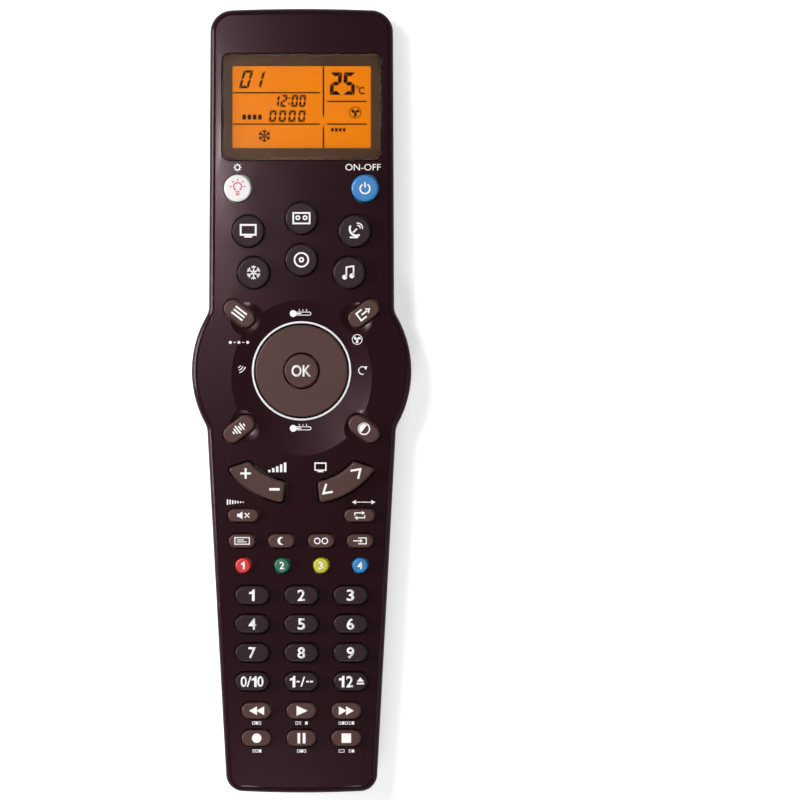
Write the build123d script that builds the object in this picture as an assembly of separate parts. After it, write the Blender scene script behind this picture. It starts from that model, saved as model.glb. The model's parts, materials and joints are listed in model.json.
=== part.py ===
from build123d import *
import os
from math import copysign, cos, radians, sin, sqrt

# A hand-held universal remote control with a display, lying on its back, in millimetres.
# Places on the key side are shares: across, of the bulge's radius, and along, of the case's length.
# +Y points to the display end and +Z out of the key side. Z = 0 is the surface it lies on.
# Arcs seen from the side are given by their highest point and radius; a hollow arc has a negative radius.

# Plan outline: two tapering straights, a round bulge at the ring, bowed ends
case_length = 240.0
end_bow = 0.7
top_half_width = 27.95
foot_half_width = 22.9
bulge_radius = 33.6
upper_waist = 0.845238 * bulge_radius
lower_waist = 0.886905 * bulge_radius
bulge_y = 0.037917 * case_length
bulge_blend = 5.8
top_corner = 6.8
foot_corner = 5.3
least_corner = 1.5
corner_growth_share = 0.35
corner_limit_share = 0.8

# Side profile
face_peak = 28.72
face_peak_y = -9.0
face_radius = 1974.0
crown_radius = 653.0
rim_depth = 2.6
edge_round = 1.9
seam_peak = 20.47
seam_peak_y = -10.6
seam_radius = 2324.0
back_low = 0.45
back_low_y = -3.0
back_radius = -1900.0
wall = 2.0
face_side_share = 1.5
face_station_shares = (-0.6, -0.3, 0.0, 0.3, 0.6)

# Rounding of the rear cover, from its upright wall down to its back
rear_round = 13.5
side_draw = 15.0
top_draw = 28.0
foot_draw = 36.0
rear_height_shares = (1.0, 0.8, 0.62, 0.45, 0.31, 0.17, 0.0)
rear_side_shares = (0.0, 0.02, 0.075, 0.19, 0.36, 0.63, 1.0)
rear_top_shares = (0.0, 0.03, 0.085, 0.215, 0.457, 0.78, 1.0)
rear_foot_shares = (0.0, 0.055, 0.115, 0.215, 0.37, 0.66, 1.0)
cavity_levels = (0, 2, 4, 6)

# Tongue and rebate between the shells
tongue_height = 1.0
tongue_thickness = 0.9
fit_gap = 0.1

# Display
display_y = 0.374167 * case_length
lens_length = 48.7
lens_width = 32.7
lens_corner = 2.3
lens_gap = 0.3
lens_drop = 0.3
lens_thickness = 1.2
lens_edge = 0.35
view_length = 42.3
view_width = 25.1
window_margin = 1.0
panel_margin = 2.0
panel_thickness = 1.6
backlight_thickness = 1.9
stack_gap = 0.1

# Board and key mat
board_z = 18.0
board_thickness = 1.6
board_gap = 1.0
mat_thickness = 1.2
mat_inset = 2.0
mat_top_y = 0.3 * case_length
mat_foot_y = 4.4 - case_length / 2
plunger_length = 2.6
plunger_width = 2.0
plunger_gap = 0.3
plunger_seat = 0.1
rocker_plunger_gap = 1.0

# Keys
key_gap = 0.38
key_stand = 1.9
key_edge = 0.6
flange_lip = 0.8
flange_thickness = 0.8
flange_gap = 0.2
round_lip = 0.55

# Nav pad, its ring, rubber boot and centre key
nav_ring_radius = 15.15
nav_ring_width = 0.55
nav_ring_stand = 0.45
nav_ring_lip = 1.0
nav_ring_flange = 0.8
nav_pad_radius = 14.1
nav_pad_thickness = 2.4
nav_pad_stand = 0.6
nav_pad_edge = 0.5
nav_hub_inner = 6.05
nav_hub_outer = 8.0
nav_hub_depth = 1.9
nav_boot_height = 1.7
nav_tilt_gap = 0.6
ok_radius = 5.2
ok_gap = 0.45
ok_stand = 0.5
dish_radius = 25.2
dish_depth = 1.25
scallop_radius = 5.2
scallop_depth = 0.6
scallop_shift = 2.4

# Rockers: corners and mid-edge points of the channel rocker, which the volume rocker mirrors
rocker_upper_start = (0.14583 * bulge_radius, -0.103125 * case_length)
rocker_upper_mid = (0.31845 * bulge_radius, -0.094583 * case_length)
rocker_upper_end = (0.47321 * bulge_radius, -0.077083 * case_length)
rocker_lower_start = (0.67262 * bulge_radius, -0.08625 * case_length)
rocker_lower_mid = (0.44345 * bulge_radius, -0.11625 * case_length)
rocker_lower_end = (0.16667 * bulge_radius, -0.129792 * case_length)
rocker_corner = 1.0
rocker_centre = (0.3869 * bulge_radius, -0.10375 * case_length)
rocker_slope = 30.0
rocker_stand = 2.3
rocker_depth = 1.9
rocker_gap = 0.5
rocker_edge = 0.7
rocker_arm = 5.5
rocker_plunger = 2.2

# A fine groove beside the channel rocker's inner end, mirrored beside the other
groove_start = (0.11012 * bulge_radius, -0.100833 * case_length)
groove_mid = (0.11905 * bulge_radius, -0.12625 * case_length)
groove_end = (0.25595 * bulge_radius, -0.149583 * case_length)
groove_width = 0.4
groove_depth = 0.3

# Battery bay and door
cell_radius = 5.25
cell_length = 43.7
cell_nub_radius = 1.9
cell_nub = 0.8
cell_spacing = 5.6
cell_z = 9.75
cell_gap = 0.3
bay_length = 92.6
bay_foot_margin = 29.7
bay_foot_y = bay_foot_margin - case_length / 2
bay_top_y = bay_foot_y + bay_length
bay_half_width = 11.8
bay_ceiling = 15.6
bay_wall = 1.2
ledge_half_width = 16.2
ledge_top = 5.4
door_half_width = 14.0
door_top_y = bay_top_y + 0.8
door_foot_y = bay_foot_y - 0.7
door_corner = 3.0
door_thickness = 1.6
door_low = -0.12
door_low_y = -8.0
door_radius = -1500.0
door_gap = 0.25
hook_x = 7.0
hook_width = 4.0
hook_reach = 2.1
hook_root = 1.7
hook_z = 2.7
hook_thickness = 1.0
hook_gap = 0.4
hook_headroom = 1.0
latch_width = 10.0
latch_length = 9.0
latch_slot = 0.8
ridge_count = 5
ridge_pitch = 1.9
ridge_length = 7.5
ridge_width = 0.9
ridge_depth = 0.4
ridge_foot = 4.0
notch_depth = 1.2
notch_ball = 20.0
contact_thickness = 0.5
contact_size = 8.6
contact_leaf = 0.8
contact_stand = 0.3

# Screws and their bosses
screw_places = (
    (0.24107 * bulge_radius, 0.22375 * case_length),
    (-0.24107 * bulge_radius, 0.22375 * case_length),
    (0.0, -0.466667 * case_length),
)
screw_radius = 1.0
screw_head_radius = 2.0
screw_head_height = 1.4
screw_head_z = 12.6
screw_tip_z = 24.4
screw_gap = 0.1
pilot_cap = 0.6
sink_gap = 0.3
boss_radius = 2.2
rear_boss_radius = 3.4
boss_gap = 0.3

# Sender window and its two diodes
window_half_width = 9.0
window_low_z = 11.0
diode_x = 5.0
diode_z = 13.9
diode_radius = 2.5
diode_length = 5.0
diode_window_gap = 0.6
diode_lead = 0.6
diode_lead_spacing = 2.5

# One overrun serves every cut and every block that is larger than the case
reach = 160.0
block_depth = 17.0

# Each key's place, turn, length and width
tilted_turn = 37.6
key_shares = {
    "light_key": (-0.58036, 0.270417, 0.0, 8.3, 8.3),
    "power_key": (0.57738, 0.270417, 0.0, 8.3, 8.3),
    "tv_key": (-0.48363, 0.215833, 0.0, 9.8, 9.8),
    "tape_key": (0.0, 0.232083, 0.0, 9.8, 9.8),
    "satellite_key": (0.48363, 0.215833, 0.0, 9.8, 9.8),
    "climate_key": (-0.43452, 0.162917, 0.0, 9.8, 9.8),
    "disc_key": (0.0, 0.179167, 0.0, 9.8, 9.8),
    "music_key": (0.43452, 0.162917, 0.0, 9.8, 9.8),
    "menu_key": (-0.56548, 0.111042, -tilted_turn, 10.5, 5.5),
    "exit_key": (0.56548, 0.111042, tilted_turn, 10.5, 5.5),
    "audio_key": (-0.56845, -0.035833, tilted_turn, 10.5, 5.5),
    "normal_key": (0.56845, -0.035833, -tilted_turn, 10.5, 5.5),
    "mute_key": (-0.52679, -0.145833, 0.0, 9.4, 4.0),
    "recall_key": (0.52976, -0.145833, 0.0, 9.4, 4.0),
    "display_key": (-0.53869, -0.178333, 0.0, 8.1, 4.2),
    "sleep_key": (-0.18155, -0.178333, 0.0, 8.1, 4.2),
    "sound_key": (0.17857, -0.178333, 0.0, 8.1, 4.2),
    "source_key": (0.53274, -0.178333, 0.0, 8.1, 4.2),
    "memory_key_1": (-0.52976, -0.209583, 0.0, 4.7, 4.7),
    "memory_key_2": (-0.1756, -0.209583, 0.0, 4.7, 4.7),
    "memory_key_3": (0.17857, -0.209583, 0.0, 4.7, 4.7),
    "memory_key_4": (0.53274, -0.209583, 0.0, 4.7, 4.7),
}
key_rows = {}
for key_name, (share_x, share_y, turn, length, width) in key_shares.items():
    key_rows[key_name] = (share_x * bulge_radius, share_y * case_length, turn, length, width)
number_names = (
    ("number_key_1", "number_key_2", "number_key_3"),
    ("number_key_4", "number_key_5", "number_key_6"),
    ("number_key_7", "number_key_8", "number_key_9"),
    ("number_key_0", "digit_entry_key", "number_key_12"),
)
number_top_y = -0.2475 * case_length
number_pitch_x = 0.44643 * bulge_radius
number_pitch_y = 0.036667 * case_length
number_length = 10.4
number_width = 5.7
transport_names = (
    ("rewind_key", "play_key", "forward_key"),
    ("record_key", "pause_key", "stop_key"),
)
transport_top_y = -0.394583 * case_length
transport_pitch_x = 0.40774 * bulge_radius
transport_pitch_y = 0.035 * case_length
transport_length = 9.1
transport_width = 5.0


def grid_keys(names, top_y, pitch_x, pitch_y, length, width):
    """Place a block of keys in rows of three about the centre line."""
    rows = {}
    for row, row_names in enumerate(names):
        for column, name in enumerate(row_names):
            rows[name] = ((column - 1) * pitch_x, top_y - row * pitch_y, 0.0, length, width)
    return rows


key_rows.update(
    grid_keys(number_names, number_top_y, number_pitch_x, number_pitch_y, number_length, number_width)
)
key_rows.update(
    grid_keys(
        transport_names, transport_top_y, transport_pitch_x, transport_pitch_y, transport_length, transport_width
    )
)

board_top = board_z + board_thickness
mat_top = board_top + mat_thickness
plunger_z = mat_top - plunger_seat


def arc_z(y, peak_y, peak_z, radius):
    """Height of a side-view arc at y."""
    return peak_z - radius + copysign(sqrt(radius**2 - (y - peak_y) ** 2), radius)


def face_z(x, y):
    """Height of the crowned face of the front cover."""
    crown_drop = crown_radius - sqrt(crown_radius**2 - x**2)
    return arc_z(y, face_peak_y, face_peak, face_radius) - crown_drop


def under_arc(peak_y, peak_z, radius):
    """Everything below a side-view arc, right across the case."""
    near_z = arc_z(-reach, peak_y, peak_z, radius)
    far_z = arc_z(reach, peak_y, peak_z, radius)
    arc = ThreePointArc((-reach, near_z), (peak_y, peak_z), (reach, far_z))
    sides = Polyline((reach, far_z), (reach, -reach), (-reach, -reach), (-reach, near_z))
    return extrude(Plane.YZ * make_face([arc, sides]), reach, both=True)


def face_block(drop):
    """A thick slab under the crowned face, lowered by drop."""
    side = face_side_share * bulge_radius
    sections = []
    for share in face_station_shares:
        y = share * case_length
        mid_z = face_z(0, y) - drop
        side_z = face_z(side, y) - drop
        arc = ThreePointArc((-side, side_z), (0, mid_z), (side, side_z))
        sides = Polyline((side, side_z), (side, mid_z - block_depth), (-side, mid_z - block_depth), (-side, side_z))
        plane = Plane((0, y, 0), x_dir=(1, 0, 0), z_dir=(0, -1, 0))
        sections.append(plane * make_face([arc, sides]))
    return loft(sections)


def case_outline(side, top, foot, corner_gain):
    """Plan outline, drawn in by side along both sides and by top and foot at the two ends."""
    top_y = case_length / 2 - top
    foot_y = foot - case_length / 2
    top_x = top_half_width - side
    foot_x = foot_half_width - side
    right = (
        (foot_x, foot_y + end_bow),
        (lower_waist - side, bulge_y),
        (upper_waist - side, bulge_y),
        (top_x, top_y - end_bow),
    )
    left = tuple((-x, y) for x, y in reversed(right))
    top_arc = ThreePointArc(right[-1], (0, top_y), left[0])
    foot_arc = ThreePointArc(left[-1], (0, foot_y), right[0])
    body = make_face([Polyline(*right), top_arc, Polyline(*left), foot_arc])
    bulge = bulge_radius - side
    outline = body + Pos(0, bulge_y) * Rot(0, 0, 90) * Circle(bulge)
    top_radius = max(least_corner, min(top_corner + corner_gain, corner_limit_share * top_x))
    foot_radius = max(least_corner, min(foot_corner + corner_gain, corner_limit_share * foot_x))
    waist = [v for v in outline.vertices() if abs(v.Y - bulge_y) < bulge]
    outline = fillet(waist, bulge_blend + side)
    outline = fillet([v for v in outline.vertices() if v.Y > top_y - 2 * end_bow], top_radius)
    return fillet([v for v in outline.vertices() if v.Y < foot_y + 2 * end_bow], foot_radius)


def inset_outline(inset):
    """Plan outline, offset inwards by inset all round."""
    return case_outline(inset, inset, inset, -inset)


def ring_wall(outer_inset, inner_inset):
    """An upright wall that follows the case, far taller than it."""
    return extrude(inset_outline(outer_inset) - inset_outline(inner_inset), reach)


def rear_form(inset, levels):
    """The rear cover's outer form, or the cavity in it when inset by the wall."""
    sections = []
    for level in levels:
        side = side_draw * rear_side_shares[level]
        outline = case_outline(
            side + inset,
            top_draw * rear_top_shares[level] + inset,
            foot_draw * rear_foot_shares[level] + inset,
            corner_growth_share * side - inset,
        )
        sections.append(Pos(0, 0, rear_round * rear_height_shares[level] + inset) * outline)
    walls = extrude(Pos(0, 0, rear_round + inset) * inset_outline(inset), reach)
    return walls + loft(sections) - under_arc(back_low_y, back_low + inset, back_radius)


def upright(sketch, low_z, high_z):
    """A sketch raised from low_z to high_z."""
    return extrude(Pos(0, 0, low_z) * sketch, high_z - low_z)


def block(x, y, low_z, high_z, length, width, turn=0.0):
    """An upright box centred at x, y."""
    return upright(Pos(x, y) * Rot(0, 0, turn) * Rectangle(length, width), low_z, high_z)


def rod(x, y, low_z, high_z, radius):
    """An upright cylinder centred at x, y."""
    return upright(Pos(x, y) * Circle(radius), low_z, high_z)


def key_outline(length, width, gap):
    """A round or long key's outline, enlarged by gap all round."""
    if length > width:
        return SlotOverall(length + 2 * gap, width + 2 * gap)
    return Circle(length / 2 + gap)


def rocker_outline(gap):
    """The channel rocker's crescent, enlarged by gap all round."""
    upper = ThreePointArc(rocker_upper_start, rocker_upper_mid, rocker_upper_end)
    lower = ThreePointArc(rocker_lower_start, rocker_lower_mid, rocker_lower_end)
    ends = Line(rocker_upper_end, rocker_lower_start), Line(rocker_lower_end, rocker_upper_start)
    crescent = make_face([upper, ends[0], lower, ends[1]])
    crescent = fillet(crescent.vertices(), rocker_corner)
    if gap:
        crescent = offset(crescent, gap)
    return crescent


def rocker_arm_places():
    """Centres of the channel rocker's two plungers."""
    along = Vector(cos(radians(rocker_slope)), sin(radians(rocker_slope)))
    centre = Vector(*rocker_centre)
    return [centre + along * (side * rocker_arm) for side in (-1, 1)]


def lens_outline(gap):
    """The display lens, enlarged by gap all round."""
    return Pos(0, display_y) * RectangleRounded(lens_length + 2 * gap, lens_width + 2 * gap, lens_corner + gap)


def dish_cutter(x, y, radius, depth):
    """The air in a shallow round dish in the face."""
    ball_radius = (radius**2 + depth**2) / (2 * depth)
    low_z = face_z(x, y) - depth
    rim = 1.4 * radius
    rim_z = low_z + ball_radius - sqrt(ball_radius**2 - rim**2)
    mid_z = low_z + ball_radius - sqrt(ball_radius**2 - rim**2 / 4)
    arc = ThreePointArc((0, low_z), (rim / 2, mid_z), (rim, rim_z))
    sides = Polyline((rim, rim_z), (rim, face_peak + wall), (0, face_peak + wall), (0, low_z))
    plane = Plane((x, y, 0), x_dir=(1, 0, 0), z_dir=(0, -1, 0))
    return revolve(plane * make_face([arc, sides]), Axis((x, y, 0), (0, 0, 1)))


def dish_z(distance):
    """Height of the dish's surface at a distance from the ring's centre."""
    ball_radius = (dish_radius**2 + dish_depth**2) / (2 * dish_depth)
    return face_z(0, bulge_y) - dish_depth + ball_radius - sqrt(ball_radius**2 - distance**2)


def scallops():
    """The soft hollows at the inner ends of the four tilted keys."""
    hollows = []
    for x, y, turn, length, width in key_rows.values():
        if turn:
            inward = -copysign(scallop_shift, x)
            scallop_x = x + inward * cos(radians(turn))
            scallop_y = y + inward * sin(radians(turn))
            hollows.append(dish_cutter(scallop_x, scallop_y, scallop_radius, scallop_depth))
    return hollows


def face_grooves():
    """The fine grooves beside the rockers' inner ends."""
    groove = upright(SlotArc(ThreePointArc(groove_start, groove_mid, groove_end), groove_width), 0, reach)
    groove -= face_block(groove_depth)
    return [groove, mirror(groove, Plane.YZ)]


nav_top = dish_z(nav_ring_radius) + nav_pad_stand
nav_bottom = nav_top - nav_pad_thickness
hub_bottom = nav_bottom - nav_hub_depth
boot_top = hub_bottom - nav_tilt_gap
boot_bottom = boot_top - nav_boot_height


def front_cover():
    """The dark face with every key hole, the lens seat, the dish and the screw bosses."""
    shell = upright(case_outline(0, 0, 0, 0), board_z, board_z + reach) & face_block(0)
    top_face = shell.faces().sort_by(Axis.Z)[-1]
    shell = fillet(top_face.edges(), edge_round)
    shell -= under_arc(face_peak_y, face_peak - rim_depth, face_radius)
    hollow = upright(inset_outline(wall), board_z, board_z + reach) & face_block(wall)
    shell -= hollow
    holes = [dish_cutter(0, bulge_y, dish_radius, dish_depth)]
    holes += scallops() + face_grooves()
    for x, y, turn, length, width in key_rows.values():
        outline = Pos(x, y) * Rot(0, 0, turn) * key_outline(length, width, key_gap)
        holes.append(upright(outline, 0, reach))
    crescent = upright(rocker_outline(rocker_gap), 0, reach)
    holes += [crescent, mirror(crescent, Plane.YZ)]
    holes.append(rod(0, bulge_y, 0, reach, nav_ring_radius + fit_gap))
    holes.append(upright(lens_outline(lens_gap), 0, reach) - face_block(lens_drop + lens_thickness))
    holes.append(block(0, display_y, 0, reach, view_length + 2 * window_margin, view_width + 2 * window_margin))
    lip = ring_wall(wall - tongue_thickness - fit_gap, wall + fit_gap)
    lip -= under_arc(face_peak_y, face_peak - rim_depth - wall, face_radius)
    holes.append(lip & under_arc(face_peak_y, face_peak - rim_depth + tongue_height + fit_gap, face_radius))
    shell -= holes
    for x, y in screw_places:
        boss = rod(x, y, board_top, face_z(x, y) - wall / 2, boss_radius)
        shell += boss
        shell -= rod(x, y, 0, face_z(x, y) - wall + pilot_cap, screw_radius + screw_gap)
    return shell


def side_band():
    """The metallic band between the two covers."""
    split = face_peak - rim_depth
    band = ring_wall(0, wall) & under_arc(face_peak_y, split, face_radius)
    tongue = ring_wall(wall - tongue_thickness, wall) & under_arc(face_peak_y, split + tongue_height, face_radius)
    rebate = ring_wall(wall - tongue_thickness - fit_gap, wall + fit_gap)
    rebate &= under_arc(seam_peak_y, seam_peak + tongue_height + fit_gap, seam_radius)
    return band + tongue - under_arc(seam_peak_y, seam_peak, seam_radius) - rebate


def door_form(gap, top_z, lower):
    """The door's plan raised from its outer arc, enlarged by gap all round."""
    length = door_top_y - door_foot_y + 2 * gap
    middle = (door_top_y + door_foot_y) / 2
    plan = RectangleRounded(2 * (door_half_width + gap), length, door_corner + gap)
    plate = upright(Pos(0, middle) * plan, -reach, top_z)
    plate &= under_arc(door_low_y, door_low + door_thickness + gap / 2, door_radius)
    return plate - lower


def battery_door():
    """The lift-off door: plate, two hook tabs at its upper end, a latch tongue and grip ridges at its foot."""
    ground = Pos(0, 0, -reach / 2) * Box(reach, 2 * reach, reach)
    door = door_form(0, reach, under_arc(door_low_y, door_low, door_radius) + ground)
    for side in (-1, 1):
        x = side * hook_x
        root_y = bay_top_y - hook_gap - hook_root / 2
        door += block(x, root_y, wall / 2, hook_z, hook_width, hook_root)
        tab_length = door_top_y + hook_reach - root_y + hook_root / 2
        tab_y = door_top_y + hook_reach - tab_length / 2
        door += block(x, tab_y, hook_z, hook_z + hook_thickness, hook_width, tab_length)
        slot_x = side * (latch_width + latch_slot) / 2
        door -= block(slot_x, door_foot_y, -reach, reach, latch_slot, 2 * latch_length)
    for order in range(ridge_count):
        y = door_foot_y + ridge_foot + order * ridge_pitch
        depth_z = arc_z(y, door_low_y, door_low, door_radius) + ridge_depth
        door -= block(0, y, -reach, depth_z, ridge_length, ridge_width)
    return door


def rear_cover(outer, hollow):
    """The glossy rear shell with its battery bay, door seat, bosses and tongue."""
    shell = outer - hollow
    middle = (bay_top_y + bay_foot_y) / 2
    length = bay_top_y - bay_foot_y
    tray = block(0, middle, 0, bay_ceiling + bay_wall, 2 * (bay_half_width + bay_wall), length + 2 * bay_wall)
    ledge_length = door_top_y - door_foot_y + 2 * (ledge_half_width - door_half_width)
    ledge_y = (door_top_y + door_foot_y) / 2
    tray += block(0, ledge_y, 0, ledge_top, 2 * ledge_half_width, ledge_length)
    for x, y in screw_places:
        tray += rod(x, y, 0, board_z, rear_boss_radius)
    shell += tray & outer
    shell -= block(0, middle, -reach, bay_ceiling, 2 * bay_half_width, length)
    shell -= door_form(door_gap, reach, Pos(0, 0, -2 * reach) * Box(reach, reach, reach))
    for side in (-1, 1):
        slot_length = hook_root + 2 * hook_reach
        shell -= block(
            side * hook_x,
            door_top_y + hook_reach + hook_gap - slot_length / 2,
            hook_z - hook_gap,
            hook_z + hook_thickness + hook_headroom,
            hook_width + 2 * hook_gap,
            slot_length,
        )
    for x, y in screw_places:
        shell -= rod(x, y, -reach, screw_head_z + screw_head_height, screw_head_radius + sink_gap)
        shell -= rod(x, y, -reach, reach, screw_radius + screw_gap)
    notch_z = arc_z(door_foot_y, back_low_y, back_low, back_radius) + notch_depth - notch_ball
    shell -= Pos(0, door_foot_y - door_gap, notch_z) * Sphere(notch_ball)
    tongue = ring_wall(wall - tongue_thickness, wall) & under_arc(seam_peak_y, seam_peak + tongue_height, seam_radius)
    shell &= under_arc(seam_peak_y, seam_peak, seam_radius)
    shell += tongue - under_arc(seam_peak_y, seam_peak - tongue_height, seam_radius)
    return shell - window_block(fit_gap)


def window_block(gap):
    """The place of the sender window, enlarged by gap all round."""
    width = 2 * (window_half_width + gap)
    return Pos(0, case_length / 2, window_low_z - gap + reach / 2) * Box(width, 6 * wall, reach)


def ir_window(outer, hollow):
    """The dark flush insert in the display end."""
    plug = (outer - hollow) & under_arc(seam_peak_y, seam_peak, seam_radius)
    return plug & window_block(0)


def ir_diodes():
    """Two sender diodes lying behind the window, with leads up to the board."""
    tip_y = case_length / 2 - wall - diode_window_gap
    diodes = []
    for x in (-diode_x, diode_x):
        dome = Pos(x, tip_y - diode_radius, diode_z) * Sphere(diode_radius)
        length = diode_length
        barrel = Pos(x, tip_y - diode_radius - length / 2, diode_z) * Rot(90, 0, 0) * Cylinder(diode_radius, length)
        diode = dome + barrel
        for side in (-1, 1):
            lead_x = x + side * diode_lead_spacing / 2
            lead_y = tip_y - diode_radius - length + diode_lead
            diode += block(lead_x, lead_y, diode_z, board_z, diode_lead, diode_lead)
        diodes.append(diode)
    return diodes


def display_window():
    """The clear lens, crowned like the face."""
    lens = upright(lens_outline(0), 0, reach) & face_block(lens_drop)
    lens = fillet(lens.faces().sort_by(Axis.Z)[-1].edges(), lens_edge)
    return lens - face_block(lens_drop + lens_thickness - fit_gap)


def main_board():
    """The circuit board, with a hole for each screw boss pair."""
    board = upright(inset_outline(wall + board_gap), board_z + stack_gap, board_top)
    for x, y in screw_places:
        board -= rod(x, y, 0, reach, screw_radius + boss_gap)
    return board


def keypad_mat():
    """The silicone mat, with a pocket for every plunger."""
    outline = inset_outline(wall + mat_inset)
    middle = (mat_top_y + mat_foot_y) / 2
    outline &= Pos(0, middle) * Rectangle(reach, mat_top_y - mat_foot_y)
    mat = upright(outline, board_top, mat_top)
    cuts = []
    for x, y, turn, length, width in key_rows.values():
        cuts.append(
            block(x, y, 0, reach, plunger_length + 2 * plunger_gap, plunger_width + 2 * plunger_gap, turn)
        )
    pocket = rocker_plunger + 2 * rocker_plunger_gap
    for place in rocker_arm_places():
        for side in (-1, 1):
            cuts.append(block(side * place.X, place.Y, 0, reach, pocket, pocket, side * rocker_slope))
    cuts.append(block(0, bulge_y, 0, reach, plunger_length + 2 * plunger_gap, plunger_width + 2 * plunger_gap))
    for x, y in screw_places:
        cuts.append(block(x, y, 0, reach, 2 * (boss_radius + boss_gap), 2 * (boss_radius + boss_gap)))
    return mat - cuts


def stacked_panel(low_z, high_z):
    """A rectangular layer of the display stack."""
    length = view_length + 2 * panel_margin
    return block(0, display_y, low_z, high_z, length, view_width + 2 * panel_margin)


def push_key(x, y, turn, length, width):
    """A key cap with its hidden flange and its plunger."""
    far_x = abs(x) + length / 2 + flange_lip
    far_y = y + copysign(width / 2 + flange_lip, y - face_peak_y)
    flange_top = face_z(far_x, far_y) - wall - flange_gap
    flange_z = flange_top - flange_thickness
    place = Pos(x, y) * Rot(0, 0, turn)
    cap = upright(place * key_outline(length, width, 0), flange_z, face_z(x, y) + key_stand)
    cap = fillet(cap.faces().sort_by(Axis.Z)[-1].edges(), key_edge)
    if length > width:
        flange = Rectangle(length + 2 * flange_lip, width + 2 * flange_lip)
    else:
        flange = Rot(0, 0, 22.5) * RegularPolygon(length / 2 + round_lip, 8, major_radius=False)
    cap += upright(place * flange, flange_z, flange_top)
    return cap + block(x, y, plunger_z, flange_z, plunger_length, plunger_width, turn)


def ok_key():
    """The centre key, guided by the nav pad's hub."""
    cap = rod(0, bulge_y, boot_bottom, nav_top + ok_stand, ok_radius)
    cap = fillet(cap.faces().sort_by(Axis.Z)[-1].edges(), key_edge)
    return cap + block(0, bulge_y, plunger_z, boot_bottom, plunger_length, plunger_width)


def nav_pad():
    """The tilting disc with its hub."""
    disc = rod(0, bulge_y, nav_bottom, nav_top, nav_pad_radius)
    disc = fillet(disc.faces().sort_by(Axis.Z)[-1].edges(), nav_pad_edge)
    disc += rod(0, bulge_y, hub_bottom, nav_bottom, nav_hub_outer)
    disc -= rod(0, bulge_y, 0, nav_bottom, nav_hub_inner)
    return disc - rod(0, bulge_y, 0, reach, ok_radius + ok_gap)


def nav_boot():
    """The rubber ring that the pad rocks on."""
    return rod(0, bulge_y, boot_bottom, boot_top, nav_hub_outer) - rod(0, bulge_y, 0, reach, nav_hub_inner)


def nav_ring():
    """The bright ring round the pad, with a flange under the face."""
    inner = nav_ring_radius - nav_ring_width
    flange_top = face_z(nav_ring_radius + nav_ring_lip, bulge_y + nav_ring_radius) - wall - flange_gap
    ring = rod(0, bulge_y, flange_top - nav_ring_flange, dish_z(nav_ring_radius) + nav_ring_stand, nav_ring_radius)
    ring += rod(0, bulge_y, flange_top - nav_ring_flange, flange_top, nav_ring_radius + nav_ring_lip)
    return ring - rod(0, bulge_y, 0, reach, inner)


def channel_rocker():
    """The crescent rocker with two plungers."""
    level = face_z(*rocker_centre)
    body = upright(rocker_outline(0), level - rocker_depth, level + rocker_stand)
    body = fillet(body.faces().sort_by(Axis.Z)[-1].edges(), rocker_edge)
    for place in rocker_arm_places():
        body += block(
            place.X, place.Y, mat_top, level - rocker_depth, rocker_plunger, rocker_plunger, rocker_slope
        )
    return body


def battery_cells():
    """Four cells in two rows, end to end, each with its nub."""
    cells = []
    length = cell_length + cell_nub
    start_y = bay_top_y - contact_thickness - contact_leaf - contact_stand
    for x in (-cell_spacing, cell_spacing):
        for order in (0, 1):
            top_y = start_y - order * (length + cell_gap)
            can = Pos(x, top_y - cell_nub - cell_length / 2, cell_z) * Rot(90, 0, 0)
            nub = Pos(x, top_y - cell_nub, cell_z) * Rot(90, 0, 0)
            cells.append(can * Cylinder(cell_radius, cell_length) + nub * Cylinder(cell_nub_radius, 2 * cell_nub))
    return cells


def battery_contacts():
    """Sprung leaf contacts at both ends of the bay."""
    contacts = []
    for x in (-cell_spacing, cell_spacing):
        for end_y, inward in ((bay_top_y, -1), (bay_foot_y, 1)):
            plate_y = end_y + inward * (contact_stand / 2 + contact_thickness / 2)
            low_z = cell_z - contact_size / 2
            plate = block(x, plate_y, low_z, low_z + contact_size, contact_size, contact_thickness)
            leaf_y = plate_y + inward * (contact_thickness + contact_leaf) / 2
            leaf = Pos(x, leaf_y, cell_z) * Box(contact_size / 3, contact_leaf, contact_size / 3)
            contacts.append(plate + leaf)
    return contacts


def case_screws():
    """Three screws from the back into the front cover's bosses."""
    screws = []
    for x, y in screw_places:
        top_z = screw_head_z + screw_head_height - screw_gap
        head = rod(x, y, top_z - screw_head_height, top_z, screw_head_radius)
        tip_z = min(screw_tip_z, face_z(x, y) - wall)
        screws.append(head + rod(x, y, top_z, tip_z, screw_radius))
    return screws


def save(name, shape):
    """Write one node, as one solid or as a group of separate solids."""
    if isinstance(shape, list):
        shape = Compound(children=[solid for item in shape for solid in item.solids()])
    export_step(shape, f"parts/{name}.step")


def main():
    os.makedirs("parts", exist_ok=True)
    outer = rear_form(0, range(len(rear_height_shares)))
    hollow = rear_form(wall, cavity_levels)
    save("front_cover", front_cover())
    save("side_band", side_band())
    save("rear_cover", rear_cover(outer, hollow))
    save("ir_window", ir_window(outer, hollow))
    save("battery_door", battery_door())
    save("display_window", display_window())
    panel_z = board_top + backlight_thickness + stack_gap
    save("backlight_panel", stacked_panel(board_top, board_top + backlight_thickness))
    save("lcd_panel", stacked_panel(panel_z, panel_z + panel_thickness))
    save("main_board", main_board())
    save("keypad_mat", keypad_mat())
    save("nav_ring", nav_ring())
    save("nav_boot", nav_boot())
    save("nav_pad", nav_pad())
    save("ok_key", ok_key())
    save("ir_leds", ir_diodes())
    save("battery_cells", battery_cells())
    save("battery_contacts", battery_contacts())
    save("case_screws", case_screws())
    rocker = channel_rocker()
    save("channel_rocker", rocker)
    save("volume_rocker", mirror(rocker, Plane.YZ))
    for name, row in key_rows.items():
        save(name, push_key(*row))


main()
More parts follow.
